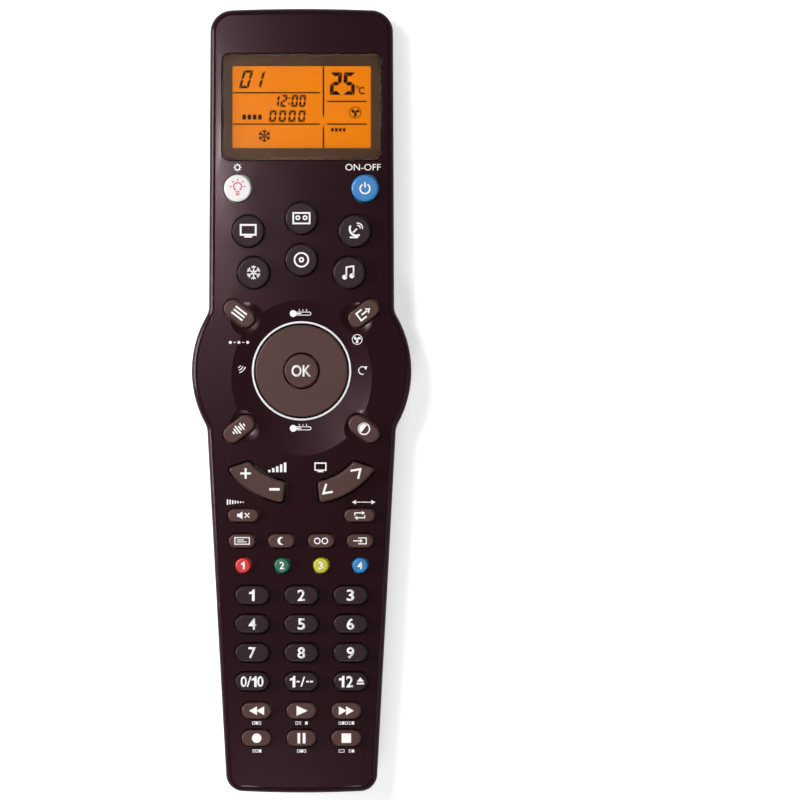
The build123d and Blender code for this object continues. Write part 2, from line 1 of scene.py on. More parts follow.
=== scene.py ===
import bmesh
import bpy
import json
import math
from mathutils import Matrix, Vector


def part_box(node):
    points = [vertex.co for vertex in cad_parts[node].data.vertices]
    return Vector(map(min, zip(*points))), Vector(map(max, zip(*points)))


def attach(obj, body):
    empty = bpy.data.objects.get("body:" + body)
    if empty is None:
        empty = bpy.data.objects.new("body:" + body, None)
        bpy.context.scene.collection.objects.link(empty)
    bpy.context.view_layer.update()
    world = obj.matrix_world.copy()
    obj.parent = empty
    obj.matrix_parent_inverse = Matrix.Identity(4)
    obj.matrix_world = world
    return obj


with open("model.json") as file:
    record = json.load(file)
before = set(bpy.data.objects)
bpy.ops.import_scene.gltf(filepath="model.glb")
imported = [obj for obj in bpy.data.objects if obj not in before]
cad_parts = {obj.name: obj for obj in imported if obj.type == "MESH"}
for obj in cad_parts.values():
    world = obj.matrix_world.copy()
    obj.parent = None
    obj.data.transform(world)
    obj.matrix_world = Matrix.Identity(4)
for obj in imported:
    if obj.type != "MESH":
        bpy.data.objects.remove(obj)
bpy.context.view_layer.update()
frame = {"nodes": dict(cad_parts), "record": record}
nodes = frame["nodes"]

MM = 0.001

# The photograph's frame: 800 pixels across, 0.3055 mm each, with the case's middle at this pixel
FRAME_PIXELS = 800
PIXEL = 0.3055 * MM
CASE_MIDDLE_X = 301.5
CASE_MIDDLE_Y = 400.65
CAMERA_HEIGHT = 2.2
FACE_LEVEL = 28.0 * MM
SENSOR = 36.0


def linear(red, green, blue):
    """An sRGB colour, 0 to 255, as linear light."""
    values = []
    for value in (red, green, blue):
        share = value / 255
        values.append(share / 12.92 if share <= 0.04045 else ((share + 0.055) / 1.055) ** 2.4)
    return tuple(values)


def scaled(colour, share):
    """A colour made darker or lighter by a share."""
    return tuple(value * share for value in colour)


def blend(start, end, share):
    """A value between two others."""
    return start + (end - start) * share


# Materials

# Nearly all values of a noise lie between these two
NOISE_LOW, NOISE_HIGH = 0.3, 0.7
# Detail of the noise behind tone, grain and gloss
TONE_DETAIL, GRAIN_DETAIL, GLOSS_DETAIL = 3.0, 2.0, 4.0
# Fineness of uneven tone and gloss on plastic
TONE_SCALE, GLOSS_SCALE = 60, 110
COAT_ROUGHNESS = 0.12
KEY_ROUGHNESS = 0.36
# Flake in paint stands this high, in metres
FLAKE_HEIGHT = 1.2e-6
# Clear plastic is polished where its surface faces up this far, and frosted below the lower limit
FROSTED_RISE, POLISHED_RISE = 0.9, 0.985
CLEAR_IOR = 1.22
CLEAR_SPECULAR = 0.15
# A lit panel's roughness from its smoothest to its dullest place, and its dimmest share of the glow
PANEL_ROUGHNESS = (0.35, 0.5)
DIMMEST_GLOW = 0.93
# The panel, its print and the lens's border hardly shine
FLAT_SPECULAR = 0.02


def new_material(name):
    """A node material with its tree and shader."""
    material = bpy.data.materials.new(name)
    material.use_nodes = True
    tree = material.node_tree
    return material, tree, tree.nodes["Principled BSDF"]


def add_noise(tree, scale, detail, seed):
    """A noise texture on the object's own coordinates."""
    coords = tree.nodes.new("ShaderNodeTexCoord")
    noise = tree.nodes.new("ShaderNodeTexNoise")
    noise.noise_dimensions = "4D"
    noise.inputs["Scale"].default_value = scale
    noise.inputs["Detail"].default_value = detail
    noise.inputs["W"].default_value = seed
    tree.links.new(coords.outputs["Object"], noise.inputs["Vector"])
    return noise


def add_ramp(tree, source, target, low, high, start=0.0, end=1.0):
    """A blend of two colours, led by a value between start and end."""
    ramp = tree.nodes.new("ShaderNodeValToRGB")
    first, last = ramp.color_ramp.elements
    first.position, last.position = start, end
    first.color, last.color = (*low, 1), (*high, 1)
    tree.links.new(source, ramp.inputs["Fac"])
    tree.links.new(ramp.outputs["Color"], target)


def vary_colour(tree, shader, colour, spread, scale, seed):
    """Slight uneven tone over the surface."""
    noise = add_noise(tree, scale, TONE_DETAIL, seed)
    low, high = scaled(colour, 1 - spread), scaled(colour, 1 + spread)
    add_ramp(tree, noise.outputs["Fac"], shader.inputs["Base Color"], low, high, NOISE_LOW, NOISE_HIGH)


def add_grain(tree, shader, scale, height, seed):
    """Moulded grain as a fine bump."""
    noise = add_noise(tree, scale, GRAIN_DETAIL, seed)
    bump = tree.nodes.new("ShaderNodeBump")
    bump.inputs["Strength"].default_value = 1.0
    bump.inputs["Distance"].default_value = height
    tree.links.new(noise.outputs["Fac"], bump.inputs["Height"])
    tree.links.new(bump.outputs["Normal"], shader.inputs["Normal"])


def vary_roughness(tree, shader, low, high, scale, seed):
    """Uneven gloss, as from handling."""
    noise = add_noise(tree, scale, GLOSS_DETAIL, seed)
    span = tree.nodes.new("ShaderNodeMapRange")
    span.inputs["From Min"].default_value = NOISE_LOW
    span.inputs["From Max"].default_value = NOISE_HIGH
    span.inputs["To Min"].default_value = low
    span.inputs["To Max"].default_value = high
    tree.links.new(noise.outputs["Fac"], span.inputs["Value"])
    tree.links.new(span.outputs["Result"], shader.inputs["Roughness"])


def plastic(name, colour, roughness, grain=2.0e-6, grain_scale=9000, spread=0.05, gloss_spread=0.05,
            coat=0.0, specular=0.5, tint=(1, 1, 1), seed=1.0):
    """Moulded plastic or rubber: uneven tone, uneven gloss and grain."""
    material, tree, shader = new_material(name)
    low, high = roughness * (1 - gloss_spread), roughness * (1 + gloss_spread)
    vary_colour(tree, shader, colour, spread, TONE_SCALE, seed)
    vary_roughness(tree, shader, low, high, GLOSS_SCALE, seed + 3)
    add_grain(tree, shader, grain_scale, grain, seed + 5)
    shader.inputs["Specular IOR Level"].default_value = specular
    shader.inputs["Specular Tint"].default_value = (*tint, 1)
    shader.inputs["Coat Weight"].default_value = coat
    shader.inputs["Coat Roughness"].default_value = COAT_ROUGHNESS
    return material


def metallic_paint(name, colour, metallic, roughness, flake, flake_scale, seed):
    """Paint with fine metal flake: each flake catches the light a little differently."""
    material, tree, shader = new_material(name)
    gloss_spread, gloss_scale = 0.1, 90
    coords = tree.nodes.new("ShaderNodeTexCoord")
    cells = tree.nodes.new("ShaderNodeTexVoronoi")
    cells.inputs["Scale"].default_value = flake_scale
    tree.links.new(coords.outputs["Object"], cells.inputs["Vector"])
    low, high = scaled(colour, 1 - flake), scaled(colour, 1 + flake)
    add_ramp(tree, cells.outputs["Color"], shader.inputs["Base Color"], low, high)
    add_grain(tree, shader, flake_scale, FLAKE_HEIGHT, seed)
    low, high = roughness * (1 - gloss_spread), roughness * (1 + gloss_spread)
    vary_roughness(tree, shader, low, high, gloss_scale, seed + 2)
    shader.inputs["Metallic"].default_value = metallic
    return material


def bare_metal(name, colour, roughness, seed):
    """Plated or bright metal."""
    material, tree, shader = new_material(name)
    tone_spread, tone_scale, gloss_spread, gloss_scale = 0.05, 400, 0.3, 300
    low, high = roughness * (1 - gloss_spread), roughness * (1 + gloss_spread)
    vary_colour(tree, shader, colour, tone_spread, tone_scale, seed)
    vary_roughness(tree, shader, low, high, gloss_scale, seed + 1)
    shader.inputs["Metallic"].default_value = 1.0
    return material


def clear_plastic(name, colour, roughness, edge_roughness):
    """Clear moulded plastic: polished where it faces up, frosted on its bevels and sides."""
    material, tree, shader = new_material(name)
    haze, haze_scale, haze_seed = 0.02, 150, 2.0
    coords = tree.nodes.new("ShaderNodeTexCoord")
    split = tree.nodes.new("ShaderNodeSeparateXYZ")
    span = tree.nodes.new("ShaderNodeMapRange")
    span.inputs["From Min"].default_value = FROSTED_RISE
    span.inputs["From Max"].default_value = POLISHED_RISE
    span.inputs["To Min"].default_value = edge_roughness
    span.inputs["To Max"].default_value = roughness
    noise = add_noise(tree, haze_scale, GLOSS_DETAIL, haze_seed)
    uneven = tree.nodes.new("ShaderNodeMath")
    uneven.operation = "MULTIPLY_ADD"
    uneven.inputs[1].default_value = haze
    tree.links.new(coords.outputs["Normal"], split.inputs["Vector"])
    tree.links.new(split.outputs["Z"], span.inputs["Value"])
    tree.links.new(noise.outputs["Fac"], uneven.inputs[0])
    tree.links.new(span.outputs["Result"], uneven.inputs[2])
    tree.links.new(uneven.outputs["Value"], shader.inputs["Roughness"])
    shader.inputs["Base Color"].default_value = (*colour, 1)
    shader.inputs["Transmission Weight"].default_value = 1.0
    shader.inputs["IOR"].default_value = CLEAR_IOR
    shader.inputs["Specular IOR Level"].default_value = CLEAR_SPECULAR
    return material


def lit_panel(name, colour, share, glow):
    """A lit display face: part of its colour is its own, part is its glow."""
    material, tree, shader = new_material(name)
    tone_spread, tone_scale, tone_seed = 0.04, 45, 7.0
    gloss_scale, gloss_seed = 200, 3.0
    glow_scale, glow_detail, glow_seed = 30, 1.0, 4.0
    vary_colour(tree, shader, scaled(colour, share), tone_spread, tone_scale, tone_seed)
    vary_roughness(tree, shader, *PANEL_ROUGHNESS, gloss_scale, gloss_seed)
    noise = add_noise(tree, glow_scale, glow_detail, glow_seed)
    dim = scaled(colour, DIMMEST_GLOW)
    add_ramp(tree, noise.outputs["Fac"], shader.inputs["Emission Color"], dim, colour)
    shader.inputs["Emission Strength"].default_value = glow
    shader.inputs["Specular IOR Level"].default_value = FLAT_SPECULAR
    return material


def case_finishes():
    """Finishes of the case, the display and what lies inside."""
    return {
        "face": plastic(
            "satin_face", linear(33, 13, 18), 0.21, grain=0.6e-6, spread=0.025, gloss_spread=0.02,
            coat=0.2, specular=0.13, tint=(1.0, 0.6, 0.68), seed=1.0,
        ),
        "band": metallic_paint("silver_band", linear(196, 188, 190), 0.7, 0.36, 0.16, 5200, 2.0),
        "rear": plastic(
            "gloss_rear", linear(24, 12, 18), 0.18, grain=0.5e-6, grain_scale=3000,
            coat=0.3, specular=0.35, seed=3.0,
        ),
        "lens": clear_plastic("clear_lens", (1, 1, 1), 0.01, 0.55),
        "lcd": lit_panel("lcd_orange", linear(246, 135, 0), 0.42, 0.56),
        "diffuser": plastic("light_guide", linear(235, 228, 214), 0.4, seed=5.0),
        "board": plastic("solder_mask", linear(18, 74, 40), 0.35, seed=6.0),
        "silicone": plastic("grey_silicone", linear(96, 94, 96), 0.62, seed=7.0),
        "ring": metallic_paint("bright_ring", linear(232, 231, 233), 0.35, 0.25, 0.05, 6000, 8.0),
        "sender_window": plastic("sender_dark", linear(20, 8, 12), 0.12, grain=0.3e-6, coat=0.8, seed=9.0),
        "diode": clear_plastic("diode_epoxy", linear(186, 196, 220), 0.05, 0.05),
        "cell": metallic_paint("cell_sleeve", linear(70, 74, 82), 0.5, 0.32, 0.08, 4000, 10.0),
        "gold_sleeve": metallic_paint("cell_gold", linear(190, 128, 52), 0.8, 0.3, 0.05, 4000, 24.0),
        "spring_steel": bare_metal("nickel", linear(196, 192, 184), 0.28, 11.0),
        "screw": bare_metal("zinc", linear(150, 150, 152), 0.4, 12.0),
        # Screw recess: dark crosses that paint the shade inside the screw heads' cross recesses
        "recess_shade": plastic("screw_recess_shade", linear(24, 24, 25), 0.6, specular=0.2, seed=25.0),
        # Black gasket: a dark band that paints the shade in the gap round the lens
        "gasket_gap_shade": plastic("black_gasket_gap_shade", linear(10, 6, 8), 0.8, specular=0.1, seed=26.0),
    }


def key_finishes():
    """Finishes of the keys: white, four bright colours, and two dark ones with a warm sheen."""
    finishes = {
        "white_key": plastic("white_key", linear(226, 223, 223), 0.42, coat=0.15, spread=0.02, seed=13.0),
        "brown_key": plastic(
            "brown_key", linear(72, 49, 46), KEY_ROUGHNESS,
            coat=0.06, specular=0.24, tint=(1.0, 0.75, 0.72), seed=18.0,
        ),
        "dark_key": plastic(
            "dark_key", linear(38, 24, 28), KEY_ROUGHNESS,
            coat=0.06, specular=0.16, tint=(1.0, 0.8, 0.85), seed=19.0,
        ),
    }
    bright = {
        "blue_key": (14, 112, 178),
        "red_key": (200, 20, 26),
        "green_key": (0, 92, 62),
        "yellow_key": (184, 182, 20),
    }
    for order, (name, colour) in enumerate(bright.items()):
        finishes[name] = plastic(name, linear(*colour), KEY_ROUGHNESS, coat=0.25, seed=14.0 + order)
    return finishes


def print_finishes():
    """Finishes of the prints on the keys, the face and the display."""
    return {
        "white_print": plastic("white_print", linear(244, 241, 238), 0.5, spread=0.02, seed=20.0),
        "red_print": plastic("red_print", linear(204, 50, 68), 0.5, spread=0.02, seed=21.0),
        "lcd_print": plastic(
            "lcd_segment", linear(44, 8, 2), 0.4, spread=0.04, specular=FLAT_SPECULAR, seed=22.0,
        ),
        "border": plastic(
            "lens_border", linear(82, 58, 42), 0.5, grain=1.0e-6, specular=FLAT_SPECULAR, seed=23.0,
        ),
    }


# Every finish, by the record's material slot or by a print's name
materials = {**case_finishes(), **key_finishes(), **print_finishes()}
slots = {entry["node"]: entry["material_slot"] for entry in frame["record"]["subparts"]}


def finish_nodes():
    """Give each CAD node the material of its slot."""
    for name, item in nodes.items():
        item.data.materials.clear()
        item.data.materials.append(materials[slots[name]])


# Flat outlines in millimetres: a shape is a loop of points, a pair of loops, or lettering as a dict

ARC_STEPS = 28
CORNER_STEPS = 6
# Smallest share in a stroke's mitre, so that a sharp corner reaches no more than twice the half width
MITRE_LIMIT = 0.5
# Edges longer than this are split into this many pieces in the lens's border and in the gasket that paints
# the gap's shade
LONG_EDGE = 3
EDGE_PIECES = 12


def disc(x, y, radius, steps=ARC_STEPS):
    """A filled circle."""
    turns = [2 * math.pi * step / steps for step in range(steps)]
    return [(x + radius * math.cos(turn), y + radius * math.sin(turn)) for turn in turns]


def arc(x, y, radius, start, end, steps=ARC_STEPS):
    """Points along an arc, angles in degrees."""
    turns = [math.radians(start + (end - start) * step / steps) for step in range(steps + 1)]
    return [(x + radius * math.cos(turn), y + radius * math.sin(turn)) for turn in turns]


def rectangle(x, y, length, width):
    """A filled rectangle about its centre."""
    return [
        (x - length / 2, y - width / 2),
        (x + length / 2, y - width / 2),
        (x + length / 2, y + width / 2),
        (x - length / 2, y + width / 2),
    ]


def rounded_loop(x, y, length, width, radius):
    """A rounded rectangle as points."""
    corners = (
        (x + length / 2 - radius, y + width / 2 - radius, 0),
        (x - length / 2 + radius, y + width / 2 - radius, 90),
        (x - length / 2 + radius, y - width / 2 + radius, 180),
        (x + length / 2 - radius, y - width / 2 + radius, 270),
    )
    points = []
    for corner_x, corner_y, start in corners:
        points += arc(corner_x, corner_y, radius, start, start + 90, CORNER_STEPS)
    return points


def subdivide_loop(loop):
    """Split each long edge of a loop into even steps."""
    points = []
    for index, point in enumerate(loop):
        after = loop[(index + 1) % len(loop)]
        count = EDGE_PIECES if math.dist(point, after) > LONG_EDGE else 1
        for step in range(count):
            share = step / count
            points.append((blend(point[0], after[0], share), blend(point[1], after[1], share)))
    return points


def stroke(points, width, closed=False):
    """A line of even width as one outline, or two loops when closed."""
    count = len(points)
    left, right = [], []
    for index, point in enumerate(points):
        here = Vector(point)
        before = Vector(points[index - 1]) if closed or index else None
        after = Vector(points[(index + 1) % count]) if closed or index < count - 1 else None
        first = (here - before).normalized() if before is not None else (after - here).normalized()
        second = (after - here).normalized() if after is not None else first
        along = (first + second).normalized()
        across = Vector((-along.y, along.x))
        share = max(MITRE_LIMIT, across.dot(Vector((-first.y, first.x))))
        step = across * (width / 2 / share)
        left.append(tuple(here + step))
        right.append(tuple(here - step))
    if closed:
        return left, right
    return left + right[::-1]


def moved(loop, x, y, turn=0.0, scale=1.0):
    """A loop turned by degrees, scaled and moved."""
    angle = math.radians(turn)
    cos, sin = math.cos(angle) * scale, math.sin(angle) * scale
    return [(x + px * cos - py * sin, y + px * sin + py * cos) for px, py in loop]


def placed(shapes, x, y, turn=0.0, scale=1.0):
    """A sign's shapes turned, scaled and moved to their place. Lettering is only moved."""
    result = []
    for shape in shapes:
        if isinstance(shape, dict):
            result.append({**shape, "x": x + shape["x"], "y": y + shape["y"]})
        elif isinstance(shape, tuple):
            result.append(tuple(moved(loop, x, y, turn, scale) for loop in shape))
        else:
            result.append(moved(shape, x, y, turn, scale))
    return result


# Prints: thin plates that lie on a surface and ride with it

PRINT_LIFT = 0.012 * MM
PRINT_THICKNESS = 0.03 * MM
BOLD = 0.022
LETTER_CURVE_STEPS = 6
WELD_DISTANCE = 0.5e-6
# A ray that looks for a surface starts this far outside it
RAY_START = 10 * MM


def word(text, x, y, length, height, bold=BOLD):
    """Lettering as a shape, by its middle and its measured length and height."""
    return {"text": text, "x": x, "y": y, "length": length, "height": height, "bold": bold}


def add_plate(mesh, loop):
    """A thin closed plate over one loop."""
    low = [mesh.verts.new((x * MM, y * MM, 0)) for x, y in loop]
    high = [mesh.verts.new((x * MM, y * MM, PRINT_THICKNESS)) for x, y in loop]
    mesh.faces.new(low[::-1])
    mesh.faces.new(high)
    for index in range(len(loop)):
        after = (index + 1) % len(loop)
        mesh.faces.new((low[index], low[after], high[after], high[index]))


def join_rings(mesh, rings, closed=True):
    """Faces from each ring of vertices to the next, and from the last to the first when closed."""
    following = rings[1:] + rings[:1] if closed else rings[1:]
    for near, far in zip(rings, following):
        for index in range(len(near)):
            after = (index + 1) % len(near)
            mesh.faces.new((near[index], near[after], far[after], far[index]))


def add_band(mesh, outer, inner):
    """A thin closed band between two loops with as many points each."""
    rings = []
    for loop, z in ((outer, 0), (outer, PRINT_THICKNESS), (inner, PRINT_THICKNESS), (inner, 0)):
        rings.append([mesh.verts.new((x * MM, y * MM, z)) for x, y in loop])
    join_rings(mesh, rings)


def flat_lettering(text, x, y, length, height, bold):
    """Lettering in the built-in face, fitted to its measured length and height."""
    curve = bpy.data.curves.new("lettering", "FONT")
    curve.body = text
    curve.size = 1.0
    curve.offset = bold
    curve.resolution_u = LETTER_CURVE_STEPS
    holder = bpy.data.objects.new("lettering", curve)
    bpy.context.scene.collection.objects.link(holder)
    flat = bpy.data.meshes.new_from_object(holder)
    bpy.data.objects.remove(holder)
    bpy.data.curves.remove(curve)
    xs = [vertex.co.x for vertex in flat.vertices]
    ys = [vertex.co.y for vertex in flat.vertices]
    for vertex in flat.vertices:
        vertex.co.x = (x + ((vertex.co.x - min(xs)) / (max(xs) - min(xs)) - 0.5) * length) * MM
        vertex.co.y = (y + ((vertex.co.y - min(ys)) / (max(ys) - min(ys)) - 0.5) * height) * MM
    return flat


def add_text(mesh, lettering):
    """Add lettering to a mesh as thin closed plates."""
    flat = flat_lettering(**lettering)
    part = bmesh.new()
    part.from_mesh(flat)
    bpy.data.meshes.remove(flat)
    bmesh.ops.remove_doubles(part, verts=part.verts, dist=WELD_DISTANCE)
    grown = bmesh.ops.extrude_face_region(part, geom=part.faces[:], use_keep_orig=True)
    for item in grown["geom"]:
        if isinstance(item, bmesh.types.BMVert):
            item.co.z += PRINT_THICKNESS
    scratch = bpy.data.meshes.new("scratch")
    part.to_mesh(scratch)
    part.free()
    mesh.from_mesh(scratch)
    bpy.data.meshes.remove(scratch)


def surface_level(target, x, y, start, direction=-1):
    """Where a ray straight down, or up, meets an object: its level, or None."""
    hit, place, _, _ = target.ray_cast(Vector((x, y, start)), Vector((0, 0, direction)))
    return place.z if hit else None


def make_piece(name, mesh, finish, body, on=None, level=None):
    """Turn a mesh into a piece, laid on a node's surface or at one level, and let it ride."""
    bmesh.ops.recalc_face_normals(mesh, faces=mesh.faces)
    data = bpy.data.meshes.new(name)
    mesh.to_mesh(data)
    mesh.free()
    if on:
        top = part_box(on)[1][2] + RAY_START
        for vertex in data.vertices:
            below = surface_level(nodes[on], vertex.co.x, vertex.co.y, top)
            if below is not None:
                vertex.co.z += below + PRINT_LIFT
    else:
        for vertex in data.vertices:
            vertex.co.z += level + PRINT_LIFT
    data.materials.append(materials[finish])
    piece = bpy.data.objects.new(name, data)
    bpy.context.scene.collection.objects.link(piece)
    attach(piece, body)
    return piece


def printed(name, shapes, finish, body, on=None, level=None):
    """A print made of shapes."""
    mesh = bmesh.new()
    for shape in shapes:
        if isinstance(shape, dict):
            add_text(mesh, shape)
        elif isinstance(shape, tuple):
            add_band(mesh, *shape)
        else:
            add_plate(mesh, shape)
    make_piece(name, mesh, finish, body, on, level)


def top_of(node):
    """The level of a node's highest surface."""
    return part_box(node)[1][2]


def plan(node):
    """A node's middle, length and width in plan, in millimetres."""
    low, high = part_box(node)
    x, y = (low[0] + high[0]) / 2 / MM, (low[1] + high[1]) / 2 / MM
    return x, y, (high[0] - low[0]) / MM, (high[1] - low[1]) / MM


def middle(node):
    """A node's middle in plan, in millimetres."""
    return plan(node)[:2]


# Signs, each drawn about its own middle in millimetres

def sign_power():
    """An open ring with a stroke in its gap."""
    return [stroke(arc(0, -0.2, 1.75, 122, 418), 0.5), stroke([(0, 0.2), (0, 2.2)], 0.5)]


def sign_bulb():
    """A lit bulb: rays, globe and base."""
    rays = []
    for angle in (0, 45, 90, 135, 180):
        near, far = arc(0, 0.45, 1.75, angle, angle, 1)[0], arc(0, 0.45, 2.5, angle, angle, 1)[0]
        rays.append(stroke([near, far], 0.3))
    globe = stroke(arc(0, 0.45, 1.2, -62, 242), 0.36)
    base = [stroke([(-0.55, level), (0.55, level)], 0.3) for level in (-1.05, -1.55, -2.05)]
    return rays + [globe] + base


def sign_screen():
    """A screen on its foot."""
    return [stroke(rectangle(0, 0.35, 4.6, 3.0), 0.55, closed=True), rectangle(0, -1.75, 2.4, 0.5)]


def sign_tape():
    """A cassette with two reels."""
    body = stroke(rectangle(0, 0, 5.0, 3.2), 0.5, closed=True)
    reels = [stroke(disc(x, 0.15, 0.55, 16), 0.4, closed=True) for x in (-1.1, 1.1)]
    return [body] + reels


def sign_dish():
    """A dish on its foot, with its feed and two waves."""
    bowl = stroke(arc(0.5, 0.6, 2.0, 150, 300), 0.6)
    feed = stroke([(-0.5, -0.5), (0.7, 0.7)], 0.45)
    waves = [stroke(arc(0.9, 0.9, radius, -10, 100, 8), 0.35) for radius in (0.8, 1.5)]
    return [bowl, feed, rectangle(-0.2, -1.95, 2.6, 0.5)] + waves


def sign_snow(radius=2.1, width=0.42):
    """A snowflake with six barbed arms."""
    shapes = []
    tip, rise = radius * 0.9, radius * 0.32
    for order in range(6):
        angle = 60 * order + 30
        arm = stroke([(0.15, 0), (radius, 0)], width)
        barb = stroke([(tip, rise), (radius * 0.6, 0), (tip, -rise)], width * 0.8)
        shapes += [moved(arm, 0, 0, angle), moved(barb, 0, 0, angle)]
    return shapes


def sign_disc():
    """A disc with its hole."""
    return [stroke(disc(0, 0, 2.1), 0.5, closed=True), stroke(disc(0, 0, 0.6, 16), 0.45, closed=True)]


def sign_note():
    """Two joined notes."""
    flag = stroke([(-0.9, -1.3), (-0.9, 1.6), (1.3, 2.0), (1.3, -0.9)], 0.45)
    return [flag, moved(disc(0, 0, 0.75, 16), -1.4, -1.4), moved(disc(0, 0, 0.75, 16), 0.8, -1.0)]


def sign_lines():
    """Three lines of a list."""
    return [rectangle(0, y, 4.2, 0.55) for y in (-1.1, 0, 1.1)]


def sign_leave():
    """A doorway with an arrow out of it."""
    door = stroke([(0.2, 1.3), (-1.9, 1.3), (-1.9, -1.3), (0.2, -1.3)], 0.5)
    arrow = [stroke([(-0.8, 0), (1.6, 0)], 0.5), [(1.2, 1.0), (2.5, 0), (1.2, -1.0)]]
    return [door] + arrow


def sign_wave():
    """A sound wave in bars."""
    heights = (0.9, 1.9, 2.9, 1.6, 2.4, 0.9)
    return [rectangle(-2.0 + 0.8 * order, 0, 0.45, height) for order, height in enumerate(heights)]


def sign_loop():
    """Two bent arrows that follow each other."""
    top = stroke([(-2.0, -0.1), (-2.0, 1.0), (1.0, 1.0)], 0.42)
    bottom = stroke([(2.0, 0.1), (2.0, -1.0), (-1.0, -1.0)], 0.42)
    return [top, bottom, [(0.9, 1.8), (2.1, 1.0), (0.9, 0.2)], [(-0.9, -1.8), (-2.1, -1.0), (-0.9, -0.2)]]


def sign_mute():
    """A speaker with a cross."""
    horn = [(-1.9, -0.5), (-1.2, -0.5), (-0.3, -1.2), (-0.3, 1.2), (-1.2, 0.5), (-1.9, 0.5)]
    cross = [stroke([(0.4, -0.7), (1.8, 0.7)], 0.32), stroke([(0.4, 0.7), (1.8, -0.7)], 0.32)]
    return [horn] + cross


def sign_page():
    """A wide frame with two lines in it."""
    border = stroke(rectangle(0, 0, 4.4, 2.0), 0.3, closed=True)
    return [border, rectangle(-0.5, 0.3, 2.2, 0.25), rectangle(-0.1, -0.3, 3.0, 0.25)]


def sign_moon():
    """A crescent moon."""
    outer, inner = arc(0, 0, 1.2, 60, 300), arc(0.62, 0, 1.05, 250, 110)
    return [outer + inner]


def sign_pair():
    """Two rings side by side."""
    return [stroke(disc(x, 0, 0.85, 20), 0.32, closed=True) for x in (-1.15, 1.15)]


def sign_enter():
    """An open frame with an arrow into it."""
    border = stroke([(-0.6, 0.9), (1.9, 0.9), (1.9, -0.9), (-0.6, -0.9)], 0.3)
    return [border, stroke([(-2.1, 0), (0.2, 0)], 0.32), [(0.0, 0.65), (0.9, 0), (0.0, -0.65)]]


def sign_fan():
    """A fan with three blades in a ring."""
    blades = []
    for order in range(3):
        blade = arc(0.62, 0, 0.58, 200, -20, 10) + [(0.1, -0.12)]
        blades.append(moved(blade, 0, 0, 120 * order + 15))
    return [stroke(disc(0, 0, 1.5), 0.2, closed=True), disc(0, 0, 0.22, 12)] + blades


def sign_swing():
    """An arc with an arrowhead."""
    return [stroke(arc(0, 0, 1.0, 40, 290, 16), 0.24), [(0.25, 0.95), (1.25, 1.15), (1.0, 0.15)]]


def sign_louvre():
    """Three curved slats."""
    return [stroke(arc(-1.2, 1.0, radius, -75, -15, 10), 0.24) for radius in (0.9, 1.6, 2.3)]


def sign_warmth():
    """A lying thermometer with three marks."""
    bulb = disc(-2.3, 0, 0.95, 20)
    tube = stroke(arc(2.2, 0, 0.42, -90, 90, 8) + [(-1.5, 0.42)], 0.2)
    tube_low = stroke([(2.2, -0.42), (-1.5, -0.42)], 0.2)
    marks = [rectangle(x, 0.95, 0.2, 0.5) for x in (-0.6, 0.4, 1.4)]
    return [bulb, tube, tube_low, rectangle(-0.9, 0, 1.6, 0.3)] + marks


def sign_cycle():
    """Three dots with a dash between each two."""
    dots = [disc(x, 0, 0.42, 14) for x in (-2.4, 0, 2.4)]
    return dots + [stroke([(-1.5, 0), (-0.9, 0)], 0.22), stroke([(0.9, 0), (1.5, 0)], 0.22)]


def sign_steps():
    """Five bars on one line, each taller than the last."""
    return [
        rectangle(-2.4 + 1.2 * order, -1.1 + 0.28 * order, 0.75, 0.7 + 0.56 * order) for order in range(5)
    ]


def sign_contrast():
    """A ring with one half filled."""
    return [stroke(disc(0, 0, 1.7), 0.4, closed=True), arc(0, 0, 1.7, 90, 270)]


def sign_fade():
    """Seven bars, each shorter than the last."""
    return [rectangle(-2.4 + 0.8 * order, 0, 0.42, 1.6 - 0.22 * order) for order in range(7)]


def sign_back_and_forth():
    """A line with an arrowhead at each end."""
    line = rectangle(0, 0, 5.6, 0.26)
    return [line, [(-2.6, 0.75), (-4.0, 0), (-2.6, -0.75)], [(2.6, -0.75), (4.0, 0), (2.6, 0.75)]]


def sign_dial():
    """A small ring with eight marks round it."""
    marks = []
    for angle in range(0, 360, 45):
        marks.append(moved(rectangle(0.85, 0, 0.32, 0.26), 0, 0, angle))
    return [stroke(disc(0, 0, 0.62, 18), 0.26, closed=True)] + marks


def sign_small(pattern):
    """A row of small boxes: open, filled, lined or wide, by the pattern's letters."""
    box, wide, height, line, gap = 0.9, 2.0, 1.05, 0.18, 0.2
    shapes = []
    x = -(box + gap) / 2 * (len(pattern) + pattern.count("w"))
    for kind in pattern:
        length = wide if kind == "w" else box
        middle_x = x + length / 2 + gap / 2
        if kind == "f":
            shapes.append(rectangle(middle_x, 0, length, height))
        elif kind == "l":
            shapes += [rectangle(middle_x, y, length, line) for y in (-0.42, 0, 0.42)]
        elif kind != " ":
            shapes.append(stroke(rectangle(middle_x, 0, length - line, height - line), line, closed=True))
        x += length + gap
    return shapes


def sign_arrows_left():
    """Two arrowheads that point left."""
    return [[(0.1, 1.35), (0.1, -1.35), (-2.3, 0)], [(2.3, 1.35), (2.3, -1.35), (-0.1, 0)]]


def sign_arrows_right():
    """Two arrowheads that point right."""
    return [[(-x, y) for x, y in reversed(loop)] for loop in sign_arrows_left()]


def sign_play():
    """A triangle that points right."""
    return [[(-1.5, 1.55), (-1.5, -1.55), (1.9, 0)]]


def sign_pause():
    """Two upright bars."""
    return [rectangle(x, 0, 0.85, 3.2) for x in (-0.8, 0.8)]


def sign_eject():
    """A small triangle over a bar."""
    return [[(-1.1, 0), (1.1, 0), (0, 1.3)], rectangle(0, -0.6, 2.2, 0.5)]


def sign_one():
    """The number one, as tall as the other numbers."""
    stem = [(-0.1, -1.75), (0.72, -1.75), (0.72, 1.75), (0.1, 1.75)]
    flag = [(-0.1, 1.2), (-0.95, 0.95), (-0.95, 0.3), (-0.1, 0.45)]
    return [stem + flag]


def slash(x, rise):
    """A slanted stroke between numbers."""
    return stroke([(x - 0.5, -rise), (x + 0.5, rise)], 0.42)


# Prints on the keys

